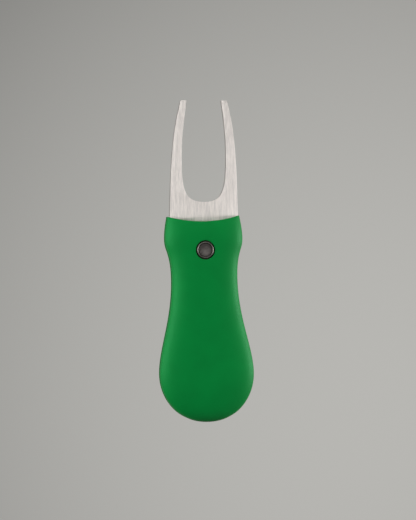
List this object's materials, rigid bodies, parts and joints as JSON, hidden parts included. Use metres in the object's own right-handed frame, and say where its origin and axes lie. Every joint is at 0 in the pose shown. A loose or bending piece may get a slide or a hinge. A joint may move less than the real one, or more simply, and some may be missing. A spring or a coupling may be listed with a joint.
{
  "type": "folding pitch-mark repair tool",
  "caption": "Pocket golf divot tool: a flat two-prong steel fork that flips out of a waisted green handle and locks with a push button.",
  "frame": {"origin": "on the handle's flat back face, straight under the pivot axis of the fork and the button", "axes": "+Z out of the front face, through the button; +Y along the handle towards the fork's tips; +X to the side the fork swings through"},
  "size_m": [0.0316, 0.1073, 0.0122],
  "materials": {
    "shell_green": "soft-touch, satin",
    "fork_steel": "brushed along the prongs",
    "frame_steel": "blanked and tumbled",
    "gunmetal": "black nickel plate",
    "spring_steel": "drawn and nickel plated",
    "brass": "turned",
    "nylon": "moulded, fine grain",
    "enamel": "gloss"
  },
  "bodies": {
    "handle": {"front_shell": "shell_green", "back_shell": "shell_green", "front_liner": "frame_steel", "back_liner": "frame_steel", "stop_block": "frame_steel", "tail_spacer": "nylon", "frame_rivet_1": "frame_steel", "frame_rivet_2": "frame_steel", "pivot_bush": "frame_steel", "front_washer": "brass", "back_washer": "brass", "drive_spring": "spring_steel", "button_spring": "spring_steel", "shell_screw_1": "gunmetal", "shell_screw_2": "gunmetal", "threaded_insert_1": "brass", "threaded_insert_2": "brass", "marker_magnet": "spring_steel"},
    "fork": {"fork": "fork_steel"},
    "button": {"release_button": "gunmetal", "lock_key": "frame_steel", "key_clip": "spring_steel"},
    "marker": {"ball_marker": "fork_steel", "marker_enamel": "enamel"}
  },
  "joints": [
    {"name": "fork_swing", "type": "hinge", "parent": "handle", "child": "fork", "pos_m": [0, 0, 0.006], "axis": [0, 0, -1], "range_deg": [0, 178.6], "stiffness_Nm_per_rad": 0.01, "springref_deg": -68.75, "deforming": ["drive_spring"]},
    {"name": "button_press", "type": "slide", "parent": "handle", "child": "button", "axis": [0, 0, -1], "range_m": [0, 0.0014], "stiffness_N_per_m": 300, "springref_m": -0.002, "deforming": ["button_spring"]},
    {"name": "marker_lift", "type": "slide", "parent": "handle", "child": "marker", "axis": [0, 0, -1], "range_m": [0, 0.01]}
  ]
}
